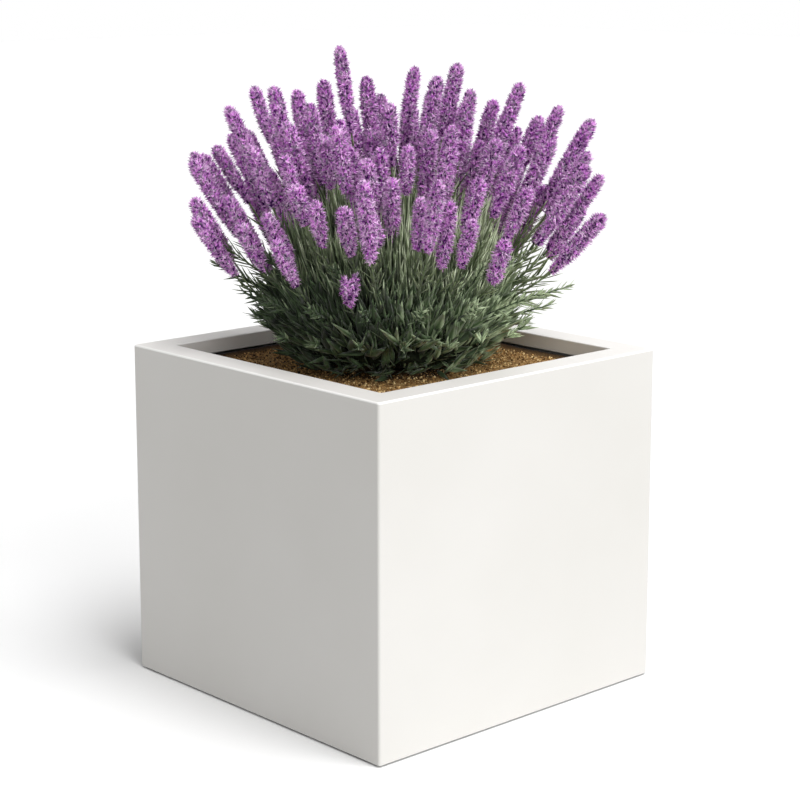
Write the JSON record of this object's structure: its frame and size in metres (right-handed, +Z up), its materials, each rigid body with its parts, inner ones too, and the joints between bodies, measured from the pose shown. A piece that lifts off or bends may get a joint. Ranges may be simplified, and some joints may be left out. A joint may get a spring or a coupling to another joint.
{
  "type": "square floor planter",
  "caption": "Square floor planter with a flat folded rim, a lift-out liner, drainage layers, soil and a lavender bush in flower.",
  "frame": {"origin": "middle of the footprint, on the floor", "axes": "+Z up; X and Y square to the walls; the picture's nearest corner is at +X -Y"},
  "size_m": [0.44, 0.44, 0.7628],
  "materials": {
    "shell_white": "satin, smooth moulded",
    "panel_white": "plain, unpolished",
    "black_rubber": "matte",
    "liner_black": "matte",
    "clay_pebbles": "rough",
    "fleece": "felted",
    "soil": "loose and granular",
    "bark": "rough",
    "leaf_green": "matte, grey-green",
    "stalk_green": "matte",
    "flower_purple": "soft, matte"
  },
  "bodies": {
    "planter": {"outer_shell": "shell_white", "base_panel": "panel_white", "drain_plug": "black_rubber", "foot_pad_1": "black_rubber", "foot_pad_2": "black_rubber", "foot_pad_3": "black_rubber", "foot_pad_4": "black_rubber"},
    "planted_liner": {"liner": "liner_black", "drainage_pebbles": "clay_pebbles", "filter_fleece": "fleece", "potting_soil": "soil", "root_ball": "soil", "woody_crown": "bark", "foliage_mound": "leaf_green", "leafy_shoots_low": "leaf_green", "leafy_shoots_high": "leaf_green", "flower_stalks_inner": "stalk_green", "flower_stalks_middle": "stalk_green", "flower_stalks_outer": "stalk_green", "flower_spikes_inner": "flower_purple", "flower_spikes_middle": "flower_purple", "flower_spikes_outer": "flower_purple"}
  },
  "joints": [
    {"name": "liner_lift", "type": "slide", "parent": "planter", "child": "planted_liner", "axis": [0, 0, 1], "range_m": [0, 0.42]}
  ]
}
